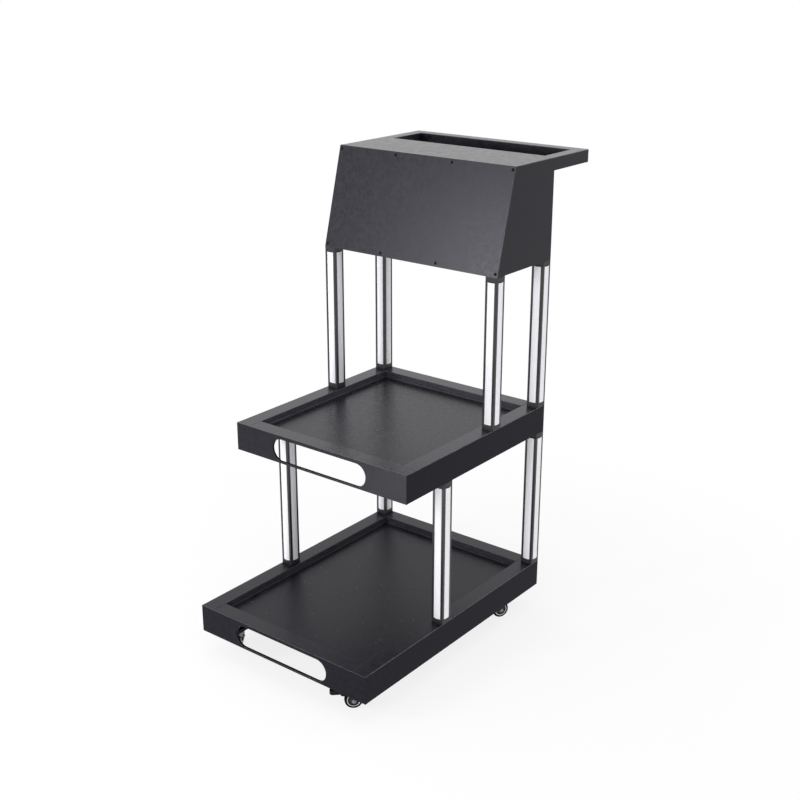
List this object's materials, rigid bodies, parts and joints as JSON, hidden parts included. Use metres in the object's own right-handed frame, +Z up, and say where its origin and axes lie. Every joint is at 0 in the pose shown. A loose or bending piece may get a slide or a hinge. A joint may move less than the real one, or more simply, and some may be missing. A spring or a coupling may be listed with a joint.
{
  "type": "dessert trolley",
  "caption": "Three-step black display trolley with two recessed trays, light-strip posts, a slanted hood with a rear push handle, and swivel casters.",
  "frame": {"origin": "on the floor, under the centre of the trolley's bounding box", "axes": "+X to the trolley's right seen from its front, +Y from the front to the back, +Z up"},
  "size_m": [0.4846, 0.8, 1.09],
  "materials": {
    "board_black": "matt black lacquer on fine-grained board",
    "post_aluminium": "satin black anodised profile",
    "opal_diffuser": "opal satin cover strip",
    "post_socket": "black moulded plastic",
    "light_tape": "white coated tape",
    "zinc_steel": "zinc plated",
    "screw_black": "black oxide",
    "pack_plastic": "moulded case",
    "caster_steel": "bright plated pressed steel",
    "fork_black": "black painted pressed steel",
    "wheel_core": "black moulded core with a bright trim ring",
    "caster_tyre": "black rubber",
    "pedal_plastic": "black moulded plastic"
  },
  "bodies": {
    "frame": {"lower_front_apron": "board_black", "lower_rear_apron": "board_black", "lower_left_apron": "board_black", "lower_right_apron": "board_black", "lower_rim": "board_black", "lower_bead": "board_black", "lower_floor": "board_black", "lower_bearers": "board_black", "caster_boards": "board_black", "mid_front_apron": "board_black", "mid_rear_apron": "board_black", "mid_left_apron": "board_black", "mid_right_apron": "board_black", "mid_rim": "board_black", "mid_bead": "board_black", "mid_floor": "board_black", "mid_bearers": "board_black", "post_blocks": "board_black", "post_lower_front_left": "post_aluminium", "post_lower_front_right": "post_aluminium", "post_lower_rear_left": "post_aluminium", "post_lower_rear_right": "post_aluminium", "post_upper_front_left": "post_aluminium", "post_upper_front_right": "post_aluminium", "post_upper_rear_left": "post_aluminium", "post_upper_rear_right": "post_aluminium", "lower_sockets": "post_socket", "upper_sockets": "post_socket", "lower_diffusers": "opal_diffuser", "upper_diffusers": "opal_diffuser", "light_tapes": "light_tape", "post_bolts": "zinc_steel", "hood_front_panel": "board_black", "hood_left_cheek": "board_black", "hood_right_cheek": "board_black", "hood_back_panel": "board_black", "hood_base": "board_black", "handle_board": "board_black", "hood_screws": "screw_black", "power_pack": "pack_plastic", "caster_plates": "caster_steel", "caster_screws": "caster_steel"},
    "swivel_front_left": {"fork_front_left": "fork_black", "axle_front_left": "caster_steel"},
    "wheel_front_left": {"hub_front_left": "wheel_core", "tyre_front_left": "caster_tyre"},
    "swivel_front_right": {"fork_front_right": "fork_black", "axle_front_right": "caster_steel"},
    "wheel_front_right": {"hub_front_right": "wheel_core", "tyre_front_right": "caster_tyre"},
    "swivel_rear_left": {"fork_rear_left": "fork_black", "axle_rear_left": "caster_steel"},
    "wheel_rear_left": {"hub_rear_left": "wheel_core", "tyre_rear_left": "caster_tyre"},
    "swivel_rear_right": {"fork_rear_right": "fork_black", "axle_rear_right": "caster_steel"},
    "wheel_rear_right": {"hub_rear_right": "wheel_core", "tyre_rear_right": "caster_tyre"},
    "brake_left": {"pedal_left": "pedal_plastic"},
    "brake_right": {"pedal_right": "pedal_plastic"}
  },
  "joints": [
    {"name": "swivel_front_left", "type": "hinge", "parent": "frame", "child": "swivel_front_left", "pos_m": [-0.1885, -0.345, 0.0455], "axis": [0, 0, 1], "continuous": true},
    {"name": "roll_front_left", "type": "hinge", "parent": "swivel_front_left", "child": "wheel_front_left", "pos_m": [-0.199, -0.32681, 0.02], "axis": [-0.866, -0.5, 0], "continuous": true},
    {"name": "swivel_front_right", "type": "hinge", "parent": "frame", "child": "swivel_front_right", "pos_m": [0.1885, -0.345, 0.0455], "axis": [0, 0, 1], "continuous": true},
    {"name": "roll_front_right", "type": "hinge", "parent": "swivel_front_right", "child": "wheel_front_right", "pos_m": [0.17365, -0.35985, 0.02], "axis": [0.7071, -0.7071, 0], "continuous": true},
    {"name": "swivel_rear_left", "type": "hinge", "parent": "frame", "child": "swivel_rear_left", "pos_m": [-0.194, 0.13, 0.0455], "axis": [0, 0, 1], "continuous": true},
    {"name": "roll_rear_left", "type": "hinge", "parent": "swivel_rear_left", "child": "wheel_rear_left", "pos_m": [-0.18856, 0.15028, 0.02], "axis": [-0.9659, 0.2588, 0], "continuous": true},
    {"name": "swivel_rear_right", "type": "hinge", "parent": "frame", "child": "swivel_rear_right", "pos_m": [0.194, 0.13, 0.0455], "axis": [0, 0, 1], "continuous": true},
    {"name": "roll_rear_right", "type": "hinge", "parent": "swivel_rear_right", "child": "wheel_rear_right", "pos_m": [0.20418, 0.14837, 0.02], "axis": [-0.8746, 0.4848, 0], "continuous": true},
    {"name": "brake_left", "type": "hinge", "parent": "swivel_front_left", "child": "brake_left", "pos_m": [-0.202, -0.32162, 0.044], "axis": [-0.866, -0.5, 0], "range_deg": [0, 6.5], "stiffness_Nm_per_rad": 0.4},
    {"name": "brake_right", "type": "hinge", "parent": "swivel_front_right", "child": "brake_right", "pos_m": [0.16941, -0.36409, 0.044], "axis": [0.7071, -0.7071, 0], "range_deg": [0, 6.5], "stiffness_Nm_per_rad": 0.4}
  ]
}
